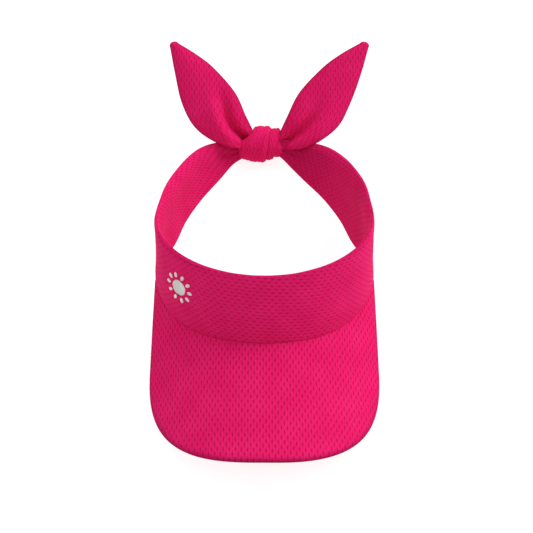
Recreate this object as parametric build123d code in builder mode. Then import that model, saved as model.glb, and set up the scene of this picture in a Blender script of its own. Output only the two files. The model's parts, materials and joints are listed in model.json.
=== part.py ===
from build123d import *
import os
from math import cos, pi, radians, sin

os.makedirs("parts", exist_ok=True)

# ---------------------------------------------------------------- driving dimensions, mm and degrees
# The headband ring has its own frame: x to the wearer's left-right, y to the back, z up the forehead.
# The whole visor then leans back so that the brim corners and the knot rest on one surface.
lean_back = 16.15           # ring plane's tilt when the visor stands on the brim and the knot
ring_back = -12.6           # where the ring frame's origin stands behind the row origin
ring_height = 21.62         # and above it

head_half_width = 88.2      # ring at its widest, low on the band
band_top_half_width = 86.0
band_height = 60.0          # forehead band, front centre
band_front = 79.2           # ring centre to the brim seam at front centre
band_top_front = 67.4       # the same at the band's top edge: the band leans back
low_centre_shift = 12.0     # the lower ellipse is centred further back than the upper one

fabric = 1.6                # one layer of air mesh
interlining = 1.4
tape = 0.6
terry = 2.6                 # sweatband

brim_slope = 21.5           # fall of the brim's centre line from the ring plane
brim_arch_radius = 132.0
brim_half_width = 89.8
brim_tip = 163.4            # ring centre to the brim's front edge
brim_side_end = 77.0        # the sides run straight as far forward as this
brim_corner_power = 2.32    # superellipse exponent of the front corners
brim_corner_steps = 16
brim_inner_side = 82.6      # the brim's inner line, under the band: half its width
brim_inner_front = 84.8     # and its depth in front of the low centre
horn_side = 0.4             # the brim's rear ends: this far out from the band
horn_front = 2.0            # and this far in front of the temples
board = 1.8                 # plastic stiffener
brim_cover = 1.2
below_brim = brim_arch_radius - 1   # depth of the cutter that trims the band along the brim

knot_back = 128.0
knot_up = 30.0
knot_core_radius = 8.5
knot_left_end = -22.0
knot_right_end = 22.0
wrap_left = -21.0
wrap_right = 5.0
wrap_shoulder = 11.0        # radius at the ends of the wide turn
wrap_crown = 14.8           # and at its middle
cross_right = 12.0
cross_shoulder = 12.0
cross_crown = 13.4
under_right = 19.0
under_shoulder = 9.6
under_crown = 11.6

tail_lean = 35.0            # tails lean back this far from the ring's upright
tail_forward = 9.5          # tails stand this far in front of the knot's centre
tail_layer = 1.5
tail_tip_rise = 1.0         # round tip: this far beyond the ends of the two edges

emblem_disc_radius = 7.0
emblem_ray_inner = 9.2
emblem_ray_outer = 13.6
emblem_ray_width = 3.0
emblem_ray_count = 10
emblem_turn = 49.0          # round the band from front centre, to the wearer's right
emblem_up = 29.0
emblem_height = 0.9
emblem_start = 8.0          # its cutter starts this far inside the band's face
emblem_reach = 30.0         # and is this long
emblem_upward = 0.2         # the face there looks up by this much for each unit outwards

# ---------------------------------------------------------------- frames
lean = radians(lean_back)
ring = Plane(origin=(0, ring_back, ring_height), x_dir=(1, 0, 0), z_dir=(0, sin(lean), cos(lean)))


def at(x, y, z):
    """A point given in the ring frame."""
    return ring.from_local_coords(Vector(x, y, z))


def way(x, y, z):
    """A direction given in the ring frame."""
    return at(x, y, z) - at(0, 0, 0)


slope = radians(brim_slope)
brim_section = Plane(origin=at(0, -band_front, 0), x_dir=(1, 0, 0), z_dir=way(0, -cos(slope), -sin(slope)))

tilt = radians(tail_lean)
knot_centre = at(0, knot_back, knot_up)
tail_face = Plane(origin=knot_centre, x_dir=(1, 0, 0), z_dir=way(0, -cos(tilt), sin(tilt)))


# ---------------------------------------------------------------- band walls
wall_foot = -14.0           # walls are made this low, then trimmed to the brim
big = 200.0                 # longer than anything that a cut has to reach
side_flare = 0.8


def half_ring(height, outside, inside):
    """Front half of a band layer at one height; the two depths run inwards from the band's face."""
    rise = height / band_height
    low_half_width = head_half_width + side_flare
    low_front = band_front + low_centre_shift
    half_width = low_half_width + (band_top_half_width - low_half_width) * rise
    front = low_front + (band_top_front - low_front) * rise
    with BuildSketch(ring.offset(height)) as layer:
        with Locations((0, low_centre_shift * (1 - rise))):
            Ellipse(half_width - outside, front - outside)
            Ellipse(half_width - inside, front - inside, mode=Mode.SUBTRACT)
        Rectangle(2 * big, big, align=(Align.CENTER, Align.MIN), mode=Mode.SUBTRACT)
    return layer.sketch


def band_wall(outside, inside):
    """A whole layer of the forehead band, from temple to temple."""
    with BuildPart() as wall:
        loft([half_ring(wall_foot, outside, inside), half_ring(band_height, outside, inside)], ruled=True)
    return wall.part


def in_front_of(setback):
    """The plane across the band this far in front of the temples, facing forwards."""
    return Plane(origin=at(0, -setback, 0), x_dir=(1, 0, 0), z_dir=way(0, -1, 0))


def brim_slab(top, thickness):
    """An arched slab along the brim's slope, its upper face this far under the brim's upper face."""
    with BuildSketch(brim_section) as profile:
        with Locations((0, -brim_arch_radius)):
            Circle(brim_arch_radius - top)
            Circle(brim_arch_radius - top - thickness, mode=Mode.SUBTRACT)
            Rectangle(big, brim_arch_radius, align=(Align.CENTER, Align.MIN), mode=Mode.INTERSECT)
    return profile.sketch


def brim_outline(inset):
    """Plan of the brim in the ring plane, open at the band's inner line."""
    half_width = brim_half_width - inset
    depth = brim_tip - brim_side_end - inset
    corner = []
    for step in range(brim_corner_steps + 1):
        turn = pi * step / brim_corner_steps
        side = 1 if turn < pi / 2 else -1
        x = side * half_width * abs(cos(turn)) ** (2 / brim_corner_power)
        y = -brim_side_end - depth * sin(turn) ** (2 / brim_corner_power)
        corner.append((x, y))
    horn = (head_half_width + horn_side - inset, -horn_front - inset)
    with BuildSketch(ring) as plan:
        with BuildLine():
            Line(horn, corner[0])
            Spline(corner, tangents=[(0, -1), (0, 1)])
            Line(corner[-1], (-horn[0], horn[1]))
            Line((-horn[0], horn[1]), horn)
        make_face()
        with Locations((0, low_centre_shift)):
            Ellipse(brim_inner_side, brim_inner_front, mode=Mode.SUBTRACT)
    return plan.sketch


# everything below the brim's upper face, so that the band can be trimmed to stand on it
with BuildPart() as under_brim:
    extrude(brim_slab(0, below_brim), amount=big, both=True)

with BuildPart() as front_band_outer:
    add(band_wall(0, fabric))
    add(under_brim.part, mode=Mode.SUBTRACT)
front_band_outer.part.label = "front_band_outer"
export_step(front_band_outer.part, "parts/front_band_outer.step")

lining_depth = fabric + interlining
inner_face = lining_depth + fabric
top_fold = 1.2
interlining_setback = 6.0   # the inner layers end this far in front of the temples
with BuildPart() as band_interlining:
    add(band_wall(fabric, lining_depth))
    add(under_brim.part, mode=Mode.SUBTRACT)
    split(bisect_by=ring.offset(band_height - top_fold), keep=Keep.BOTTOM)
    split(bisect_by=in_front_of(interlining_setback), keep=Keep.TOP)
band_interlining.part.label = "band_interlining"
export_step(band_interlining.part, "parts/band_interlining.step")

with BuildPart() as front_band_lining:
    add(band_wall(lining_depth, inner_face))
    add(under_brim.part, mode=Mode.SUBTRACT)
front_band_lining.part.label = "front_band_lining"
export_step(front_band_lining.part, "parts/front_band_lining.step")

tape_top = 9.0
tape_setback = 8.0
with BuildPart() as brim_seam_tape:
    add(band_wall(inner_face, inner_face + tape))
    add(under_brim.part, mode=Mode.SUBTRACT)
    split(bisect_by=ring.offset(tape_top), keep=Keep.BOTTOM)
    split(bisect_by=in_front_of(tape_setback), keep=Keep.TOP)
brim_seam_tape.part.label = "brim_seam_tape"
export_step(brim_seam_tape.part, "parts/brim_seam_tape.step")

sweatband_bottom = 3.0
sweatband_top = 38.0
sweatband_setback = 16.0
with BuildPart() as sweatband:
    add(band_wall(inner_face, inner_face + terry))
    split(bisect_by=ring.offset(sweatband_bottom), keep=Keep.TOP)
    split(bisect_by=ring.offset(sweatband_top), keep=Keep.BOTTOM)
    split(bisect_by=in_front_of(sweatband_setback), keep=Keep.TOP)
    add(brim_seam_tape.part, mode=Mode.SUBTRACT)
    add(under_brim.part, mode=Mode.SUBTRACT)
sweatband.part.label = "sweatband"
export_step(sweatband.part, "parts/sweatband.step")

label_thickness = 0.4
label_width = 22.0
label_side = 48.0
label_bottom = 39.0
label_top = 55.0
with BuildPart() as care_label:
    add(band_wall(inner_face, inner_face + label_thickness))
    with BuildSketch(ring.offset(label_bottom)):
        with Locations((label_side, -big / 2)):
            Rectangle(label_width, big)
    extrude(amount=label_top - label_bottom, mode=Mode.INTERSECT)
care_label.part.label = "care_label"
export_step(care_label.part, "parts/care_label.step")

# ---------------------------------------------------------------- brim
with BuildPart() as brim_top_cover:
    extrude(brim_slab(0, brim_cover), amount=big, both=True)
    extrude(brim_outline(0), amount=big, both=True, mode=Mode.INTERSECT)
brim_top_cover.part.label = "brim_top_cover"
export_step(brim_top_cover.part, "parts/brim_top_cover.step")

board_inset = 2.2
with BuildPart() as brim_board:
    extrude(brim_slab(brim_cover, board), amount=big, both=True)
    extrude(brim_outline(board_inset), amount=big, both=True, mode=Mode.INTERSECT)
brim_board.part.label = "brim_board"
export_step(brim_board.part, "parts/brim_board.step")

with BuildPart() as brim_under_cover:
    extrude(brim_slab(brim_cover, board + brim_cover), amount=big, both=True)
    extrude(brim_outline(0), amount=big, both=True, mode=Mode.INTERSECT)
    add(brim_board.part, mode=Mode.SUBTRACT)
brim_under_cover.part.label = "brim_under_cover"
export_step(brim_under_cover.part, "parts/brim_under_cover.step")

# ---------------------------------------------------------------- knot, turned about an axis along x
knot_side = Plane(origin=knot_centre, x_dir=(1, 0, 0), z_dir=way(0, -1, 0))
knot_axis = Axis(knot_centre, (1, 0, 0))


def knot_turn(start, end, shoulder, crown):
    """Half section of one turn of strap round the knot's core, crowned between two shoulders."""
    with BuildSketch(knot_side) as turn:
        with BuildLine():
            Line((start, knot_core_radius), (start, shoulder))
            ThreePointArc((start, shoulder), ((start + end) / 2, crown), (end, shoulder))
            Line((end, shoulder), (end, knot_core_radius))
            Line((end, knot_core_radius), (start, knot_core_radius))
        make_face()
    return turn.sketch


with BuildPart() as knot_core:
    with BuildSketch(knot_side):
        core_length = knot_right_end - knot_left_end
        with Locations(((knot_right_end + knot_left_end) / 2, 0)):
            Rectangle(core_length, knot_core_radius, align=(Align.CENTER, Align.MIN))
    revolve(axis=knot_axis)
knot_core.part.label = "knot_core"
export_step(knot_core.part, "parts/knot_core.step")

with BuildPart() as knot_wrap:
    revolve(knot_turn(wrap_left, wrap_right, wrap_shoulder, wrap_crown), axis=knot_axis)
knot_wrap.part.label = "knot_wrap"
export_step(knot_wrap.part, "parts/knot_wrap.step")

with BuildPart() as knot_cross_strand:
    revolve(knot_turn(wrap_right, cross_right, cross_shoulder, cross_crown), axis=knot_axis)
knot_cross_strand.part.label = "knot_cross_strand"
export_step(knot_cross_strand.part, "parts/knot_cross_strand.step")

with BuildPart() as knot_under_strand:
    revolve(knot_turn(cross_right, under_right, under_shoulder, under_crown), axis=knot_axis)
knot_under_strand.part.label = "knot_under_strand"
export_step(knot_under_strand.part, "parts/knot_under_strand.step")

# ---------------------------------------------------------------- straps, from the temples to the knot
# Lower and upper edge of each strap's outer face at its stations. Both are given with x negative,
# and the strap on the other side is mirrored into place.
left_low = [
    (-88.2, 0, -6), (-84.5, 22, -6), (-76.5, 40, -4), (-68.6, 61, 0.5),
    (-56.1, 83, 5.5), (-40, 104, 10.5), (-29.8, 118.5, 15.5), (-21.2, 126, 18.5),
]
left_high = [
    (-85.6, 0, 60), (-83, 22, 59.5), (-79.3, 42, 58), (-73.6, 62, 54.5),
    (-66.2, 84, 49.5), (-56.5, 107, 42), (-43, 121.5, 36.5), (-21, 130, 32),
]
right_low = [
    (-88.2, 0, -6), (-84.5, 22, -6), (-75.3, 40, -4), (-66.3, 61, 0.5),
    (-52.5, 83, 5.5), (-34.5, 103.5, 10.2), (-24.6, 114, 13.2), (-19.9, 120.6, 16),
]
right_high = [
    (-85.6, 0, 60), (-84.2, 22, 59.5), (-81.7, 42, 58), (-76.6, 62, 54.5),
    (-68.7, 84, 49.5), (-57, 107, 42), (-42.5, 122, 35.5), (-19.9, 130.5, 31),
]
before_temple = (-86.9, -22, 27)
inside_knot = (-8, 129, 26.5)


def strap_layer(low_edge, high_edge, outside, inside):
    """One layer of a strap on the negative side, between two depths from its outer face."""
    middles = [(Vector(*low) + Vector(*high)) * 0.5 for low, high in zip(low_edge, high_edge)]
    middles = [Vector(*before_temple)] + middles + [Vector(*inside_knot)]
    sections = []
    for station, (low, high) in enumerate(zip(low_edge, high_edge)):
        up = Vector(*high) - Vector(*low)
        travel = middles[station + 2] - middles[station]
        if station == 0:
            travel = Vector(0, 1, 0)
        travel = travel - up.normalized() * travel.dot(up.normalized())
        low_point = at(*low)
        place = Plane(origin=low_point, x_dir=at(*high) - low_point, z_dir=way(travel.X, travel.Y, travel.Z))
        with BuildSketch(place) as section:
            with Locations((0, outside)):
                Rectangle(up.length, inside - outside, align=(Align.MIN, Align.MIN))
        sections.append(section.sketch)
    with BuildPart() as layer:
        loft(sections)
        add(knot_core.part, mode=Mode.SUBTRACT)
    return layer.part


with BuildPart() as left_strap_outer:
    add(strap_layer(left_low, left_high, 0, fabric))
left_strap_outer.part.label = "left_strap_outer"
export_step(left_strap_outer.part, "parts/left_strap_outer.step")

with BuildPart() as left_strap_lining:
    add(strap_layer(left_low, left_high, fabric, 2 * fabric))
left_strap_lining.part.label = "left_strap_lining"
export_step(left_strap_lining.part, "parts/left_strap_lining.step")

with BuildPart() as right_strap_outer:
    mirror(strap_layer(right_low, right_high, 0, fabric), about=Plane.YZ)
right_strap_outer.part.label = "right_strap_outer"
export_step(right_strap_outer.part, "parts/right_strap_outer.step")

with BuildPart() as right_strap_lining:
    mirror(strap_layer(right_low, right_high, fabric, 2 * fabric), about=Plane.YZ)
right_strap_lining.part.label = "right_strap_lining"
export_step(right_strap_lining.part, "parts/right_strap_lining.step")

# ---------------------------------------------------------------- tails
# Each tail's outline, in the plane of its face: the inner edge runs up from the knot to the tip,
# the outer edge comes down again to the knot.
left_inner_edge = [(-13, 16.5), (-25, 45), (-43, 66), (-73, 87.5)]
left_outer_edge = [(-79.6, 85), (-76, 58), (-67, 27), (-50, 8), (-36, 4), (-25, 3.5)]
right_inner_edge = [(18, 16.5), (29.5, 45), (49, 66), (81, 87.5)]
right_outer_edge = [(88.2, 85), (81, 57), (69.5, 27), (53, 8), (39, 3.5), (23.5, 3.5)]


def tail_outline(plane, inner_edge, outer_edge):
    """Leaf shape of a tail, with a round tip and a straight root at the knot."""
    tip = ((inner_edge[-1][0] + outer_edge[0][0]) / 2, inner_edge[-1][1] + tail_tip_rise)
    with BuildSketch(plane) as leaf:
        with BuildLine():
            Spline(inner_edge)
            Spline([inner_edge[-1], tip, outer_edge[0]])
            Spline(outer_edge)
            Line(outer_edge[-1], inner_edge[0])
        make_face()
    return leaf.sketch


tails = []
for side, inner_edge, outer_edge in (
    ("left", left_inner_edge, left_outer_edge),
    ("right", right_inner_edge, right_outer_edge),
):
    with BuildPart() as tail_back:
        extrude(tail_outline(tail_face.offset(tail_forward), inner_edge, outer_edge), amount=tail_layer)
    tail_back.part.label = side + "_tail_back"
    export_step(tail_back.part, "parts/" + side + "_tail_back.step")

    with BuildPart() as tail_front:
        front_plane = tail_face.offset(tail_forward + tail_layer)
        extrude(tail_outline(front_plane, inner_edge, outer_edge), amount=tail_layer)
    tail_front.part.label = side + "_tail_front"
    export_step(tail_front.part, "parts/" + side + "_tail_front.step")
    tails += [tail_back, tail_front]

# ---------------------------------------------------------------- emblem, a plain sun
turn = radians(emblem_turn)
rise = emblem_up / band_height
emblem_half_width = head_half_width + (band_top_half_width - head_half_width) * rise
emblem_front = band_front + (band_top_front - band_front) * rise
emblem_spot = Vector(-emblem_half_width * sin(turn), -emblem_front * cos(turn), emblem_up)
out = Vector(emblem_front * -sin(turn), emblem_half_width * -cos(turn), 0).normalized()
emblem_face = Plane(
    origin=at(emblem_spot.X - emblem_start * out.X, emblem_spot.Y - emblem_start * out.Y, emblem_up),
    x_dir=way(-out.Y, out.X, 0),
    z_dir=way(out.X, out.Y, emblem_upward),
)

emblem_layer = band_wall(-emblem_height, 0)

with BuildPart() as emblem_disc:
    with BuildSketch(emblem_face):
        Circle(emblem_disc_radius)
    extrude(amount=emblem_reach)
    add(emblem_layer, mode=Mode.INTERSECT)
emblem_disc.part.label = "emblem_disc"
export_step(emblem_disc.part, "parts/emblem_disc.step")

with BuildPart() as emblem_ray_group:
    with BuildSketch(emblem_face):
        with PolarLocations((emblem_ray_inner + emblem_ray_outer) / 2, emblem_ray_count):
            SlotOverall(emblem_ray_outer - emblem_ray_inner, emblem_ray_width)
    extrude(amount=emblem_reach)
    add(emblem_layer, mode=Mode.INTERSECT)
emblem_ray_group.part.label = "emblem_rays"
export_step(emblem_ray_group.part, "parts/emblem_rays.step")
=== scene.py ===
"""Sun visor with a tied back: the looks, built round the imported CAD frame.

Shapes are laid out in millimetres in the headband ring's frame. world() takes them to the row frame's metres.
"""
import bmesh
import bpy
import json
import math
import numpy as np
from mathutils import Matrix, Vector, noise

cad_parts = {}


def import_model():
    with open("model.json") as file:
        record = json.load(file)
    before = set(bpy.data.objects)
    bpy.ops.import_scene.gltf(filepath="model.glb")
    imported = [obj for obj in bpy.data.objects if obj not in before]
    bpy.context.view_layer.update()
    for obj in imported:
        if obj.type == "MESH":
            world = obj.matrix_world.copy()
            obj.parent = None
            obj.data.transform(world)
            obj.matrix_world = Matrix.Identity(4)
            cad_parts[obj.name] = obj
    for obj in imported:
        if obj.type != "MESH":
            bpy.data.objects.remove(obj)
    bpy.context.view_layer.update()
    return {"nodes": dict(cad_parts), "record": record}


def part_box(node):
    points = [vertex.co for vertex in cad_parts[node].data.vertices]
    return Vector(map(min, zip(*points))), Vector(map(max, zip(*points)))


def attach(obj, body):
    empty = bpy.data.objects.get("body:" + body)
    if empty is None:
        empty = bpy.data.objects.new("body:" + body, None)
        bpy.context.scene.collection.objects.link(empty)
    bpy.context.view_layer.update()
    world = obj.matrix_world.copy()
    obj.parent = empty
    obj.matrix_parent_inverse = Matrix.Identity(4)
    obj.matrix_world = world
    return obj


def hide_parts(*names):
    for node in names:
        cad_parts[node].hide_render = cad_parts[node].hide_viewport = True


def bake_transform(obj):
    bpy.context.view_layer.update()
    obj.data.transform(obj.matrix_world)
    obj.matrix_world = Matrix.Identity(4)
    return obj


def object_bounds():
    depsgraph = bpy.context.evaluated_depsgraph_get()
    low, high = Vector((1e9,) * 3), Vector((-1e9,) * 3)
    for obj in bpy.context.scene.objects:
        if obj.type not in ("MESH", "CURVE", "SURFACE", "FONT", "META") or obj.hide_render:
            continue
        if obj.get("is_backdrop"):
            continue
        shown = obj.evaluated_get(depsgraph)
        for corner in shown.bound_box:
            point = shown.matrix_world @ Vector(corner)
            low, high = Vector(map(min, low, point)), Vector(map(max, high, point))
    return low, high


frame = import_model()
MM = 0.001

# ---------------------------------------------------------------- the ring frame
# The head opening's mount gives the headband ring's own frame: x sideways, y to the knot, z up the forehead.
mount = frame["record"]["mounts"][0]
ring_z = Vector(mount["axis"]).normalized()
ring_x = Vector((1, 0, 0))
ring_y = ring_z.cross(ring_x).normalized()
mount_in_ring = Vector((0, 15, 28)) * MM
ring_origin = Vector(mount["pos_m"]) - ring_y * mount_in_ring.y - ring_z * mount_in_ring.z
ring_axes = np.array([ring_x, ring_y, ring_z])


def world(points):
    """Ring-frame millimetres to row-frame metres."""
    return np.array(ring_origin) + (np.asarray(points, float) * MM) @ ring_axes


# The CAD design's own dimensions, in millimetres.
head_half_width = 89.0
band_top_half_width = 86.0
band_height = 60.0
band_front = 79.2
band_top_front = 67.4
low_centre_shift = 12.0
interlined_thickness = 4.6
strap_thickness = 3.4
brim_slope = math.radians(21.5)
brim_arch_radius = 132.0
brim_arch_reach = 120.0
brim_half_width = 89.8
brim_tip = 163.4
brim_side_end = 77.0
brim_corner_power = 2.32
brim_thickness = 4.2
knot_centre = np.array([0, 128.0, 30.0])
tail_lean = math.radians(35.0)
tail_up = np.array([0, math.sin(tail_lean), math.cos(tail_lean)])
tail_out = np.array([0, -math.cos(tail_lean), math.sin(tail_lean)])
knot_lean = math.radians(44.0)
knot_up = np.array([0, math.sin(knot_lean), math.cos(knot_lean)])
knot_out = np.array([0, -math.cos(knot_lean), math.sin(knot_lean)])
sideways = np.array([1.0, 0, 0])

# Lower and upper edge of the straps' outer faces, from each temple into the knot.
left_low = [
    (-88.2, 0, -6), (-84.5, 22, -6), (-76.5, 40, -4), (-68.6, 61, 0.5),
    (-56.1, 83, 5.5), (-40, 104, 10.5), (-29.8, 117.5, 14.6), (-21.5, 125.5, 17.6), (-9, 128.5, 25),
]
left_high = [
    (-85.6, 0, 60), (-83, 22, 59.5), (-79.3, 42, 58), (-73.6, 62, 54.5),
    (-66.2, 84, 49.5), (-56.5, 107, 42), (-43, 121.5, 37), (-21, 130, 34.5), (-9, 129.5, 33),
]
right_low = [
    (88.2, 0, -6), (84.5, 22, -6), (75.3, 40, -4), (66.3, 61, 0.5),
    (52.5, 83, 5.5), (34.5, 103.5, 10.2), (24.6, 114.5, 13.6), (15.5, 122.3, 19.6), (5, 127, 25),
]
right_high = [
    (85.6, 0, 60), (84.2, 22, 59.5), (81.7, 42, 58), (76.6, 62, 54.5),
    (68.7, 84, 49.5), (57, 107, 42), (42.5, 121.5, 36.5), (18, 130, 35), (5, 129.5, 33),
]


def smooth(low, high, value):
    """0 below low, 1 above high, eased between."""
    t = np.clip((np.asarray(value, float) - low) / (high - low), 0, 1)
    return t * t * (3 - 2 * t)


def brim_z(x, y):
    """Height of the brim's upper face over the ring plane."""
    fall = brim_arch_radius - np.sqrt(brim_arch_radius ** 2 - np.minimum(np.abs(x), brim_arch_reach) ** 2)
    return math.tan(brim_slope) * (y + band_front) - fall / math.cos(brim_slope)


def curve_through(points, count):
    """A smooth curve through control points, resampled at even steps of length."""
    steps_between = 24
    points = np.asarray(points, float)
    ghost = np.vstack([2 * points[0] - points[1], points, 2 * points[-1] - points[-2]])
    fine = []
    for a, b, c, d in zip(ghost[:-3], ghost[1:-2], ghost[2:-1], ghost[3:]):
        for t in np.linspace(0, 1, steps_between, endpoint=False):
            fine.append(0.5 * (2 * b + (c - a) * t + (2 * a - 5 * b + 4 * c - d) * t ** 2
                               + (3 * b - a - 3 * c + d) * t ** 3))
    fine = np.array(fine + [points[-1]])
    length = np.r_[0, np.cumsum(np.linalg.norm(np.diff(fine, axis=0), axis=1))]
    even = np.linspace(0, length[-1], count)
    return np.stack([np.interp(even, length, fine[:, k]) for k in range(points.shape[1])], 1)


# ---------------------------------------------------------------- mesh helpers
floor_ease = 0.5 * MM       # cloth low enough to sink into the floor lies flat on it, eased over this height


def piece(name, points, faces, corner_uvs=None, rim=None):
    """A smooth-shaded mesh object from row-frame points.

    corner_uvs is the cloth map in millimetres. rim, from 0 to 1 at each point, is a mask of painted shade
    along turned edges and gathered cloth, which air_mesh mixes into the colour.
    """
    points = np.array(points)
    points[:, 2] = (points[:, 2] + np.hypot(points[:, 2], floor_ease)) / 2
    mesh = bpy.data.meshes.new(name)
    mesh.from_pydata([tuple(p) for p in points], [], faces)
    if corner_uvs is not None:
        layer = mesh.uv_layers.new(name="cloth")
        flat = np.array([uv for face in corner_uvs for uv in face], np.float32)
        layer.data.foreach_set("uv", flat.ravel())
    if rim is not None:
        mask = mesh.attributes.new("rim", "FLOAT", "POINT")
        mask.data.foreach_set("value", np.asarray(rim, np.float32).ravel())
    mesh.polygons.foreach_set("use_smooth", [True] * len(mesh.polygons))
    mesh.update()
    made = bpy.data.objects.new(name, mesh)
    bpy.context.scene.collection.objects.link(made)
    return made


def grid(points, uvs, closed=False, caps=False, flip=False):
    """Vertices, faces and corner maps of a rows by columns grid.

    closed joins its last column to its first, caps fills in its two end rows, and flip turns its faces over.
    """
    rows, columns = points.shape[:2]
    spans = columns if closed else columns - 1
    faces = []
    corner_uvs = []
    for i in range(rows - 1):
        for j in range(spans):
            k = (j + 1) % columns
            face = [i * columns + j, (i + 1) * columns + j, (i + 1) * columns + k, i * columns + k]
            corners = [uvs[i, j], uvs[i + 1, j], uvs[i + 1, j + 1], uvs[i, j + 1]]
            faces.append(face[::-1] if flip else face)
            corner_uvs.append(corners[::-1] if flip else corners)
    if caps:
        ends = (list(range(columns)), list(range((rows - 1) * columns, rows * columns))[::-1])
        for row, end in zip((0, rows - 1), ends):
            faces.append(end[::-1] if flip else end)
            corner_uvs.append([uvs[row, 0]] * columns)
    return points.reshape(-1, 3), faces, corner_uvs


def merge(parts):
    """Several (points, faces, corner maps) in one."""
    points, faces, corner_uvs = [], [], []
    count = 0
    for some_points, some_faces, some_uvs in parts:
        points.append(some_points)
        faces += [[count + v for v in face] for face in some_faces]
        corner_uvs += some_uvs
        count += len(some_points)
    return np.vstack(points), faces, corner_uvs


def lumps(points, size, seed):
    """Smooth noise from -1 to 1 at each point, with lumps of about this size in millimetres."""
    offset = Vector((seed * 7.3, seed * 3.1, seed * 5.7))       # any step that differs for each seed
    return np.array([noise.noise(Vector(p) / size + offset) for p in np.asarray(points).reshape(-1, 3)])


# ---------------------------------------------------------------- materials
def colour(r, g, b):
    """An sRGB colour, 0 to 255, as the linear one that Blender takes."""
    parts = [v / 255 for v in (r, g, b)]
    return tuple(v / 12.92 if v <= 0.04045 else ((v + 0.055) / 1.055) ** 2.4 for v in parts) + (1,)


class Nodes:
    """Short calls for wiring a material."""

    def __init__(self, name):
        self.material = bpy.data.materials.new(name)
        self.material.use_nodes = True
        self.tree = self.material.node_tree
        self.shader = self.tree.nodes["Principled BSDF"]

    def put(self, socket, value):
        if isinstance(value, bpy.types.NodeSocket):
            self.tree.links.new(value, socket)
        else:
            socket.default_value = value

    def math(self, operation, a, b=0.0):
        node = self.tree.nodes.new("ShaderNodeMath")
        node.operation = operation
        self.put(node.inputs[0], a)
        self.put(node.inputs[1], b)
        return node.outputs[0]

    def ease(self, value, low, high, start=0.0, end=1.0):
        node = self.tree.nodes.new("ShaderNodeMapRange")
        node.interpolation_type = "SMOOTHSTEP"
        for socket, v in zip(node.inputs[:5], (value, low, high, start, end)):
            self.put(socket, v)
        return node.outputs[0]

    def cloth_map(self, scale=(1, 1, 1)):
        node = self.tree.nodes.new("ShaderNodeUVMap")
        node.uv_map = "cloth"
        stretch = self.tree.nodes.new("ShaderNodeMapping")
        stretch.inputs["Scale"].default_value = scale
        self.put(stretch.inputs["Vector"], node.outputs[0])
        return stretch.outputs[0]

    def place(self):
        return self.tree.nodes.new("ShaderNodeTexCoord").outputs["Object"]

    def split(self, vector):
        node = self.tree.nodes.new("ShaderNodeSeparateXYZ")
        self.put(node.inputs[0], vector)
        return node.outputs[0], node.outputs[1]

    def noise(self, vector, scale, detail=2.0, rough=0.5):
        node = self.tree.nodes.new("ShaderNodeTexNoise")
        node.inputs["Scale"].default_value = scale
        node.inputs["Detail"].default_value = detail
        node.inputs["Roughness"].default_value = rough
        self.put(node.inputs["Vector"], vector)
        return node.outputs["Fac"]

    def mix(self, factor, a, b):
        node = self.tree.nodes.new("ShaderNodeMix")
        node.data_type = "RGBA"
        self.put(node.inputs["Factor"], factor)
        self.put(node.inputs["A"], a)
        self.put(node.inputs["B"], b)
        return node.outputs["Result"]

    def attribute(self, name):
        node = self.tree.nodes.new("ShaderNodeAttribute")
        node.attribute_name = name
        return node.outputs["Fac"]

    def bump(self, height, distance, strength=1.0):
        node = self.tree.nodes.new("ShaderNodeBump")
        node.inputs["Strength"].default_value = strength
        node.inputs["Distance"].default_value = distance
        self.put(node.inputs["Height"], height)
        self.put(self.shader.inputs["Normal"], node.outputs[0])


pink = colour(213, 20, 92)
pink_deep = colour(166, 8, 60)
pink_light = colour(226, 36, 108)
# The darkest pink is painted shade, which the rim mask mixes in.
pink_painted_shade = colour(146, 8, 66)
pink_sheen = colour(255, 120, 170)
matt_specular = 0.04
# How far the rim mask's painted shade darkens the cloth.
painted_shade_strength = 0.75

# How many lumps of each of the knit's noises there are to a millimetre of the cloth map.
wander_scale = 0.16
dye_scale = 0.05
yarn_stretch = (2.4, 0.5, 1)

thread_pitch = 0.62             # millimetres from thread to thread in the emblem's satin stitch


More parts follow.
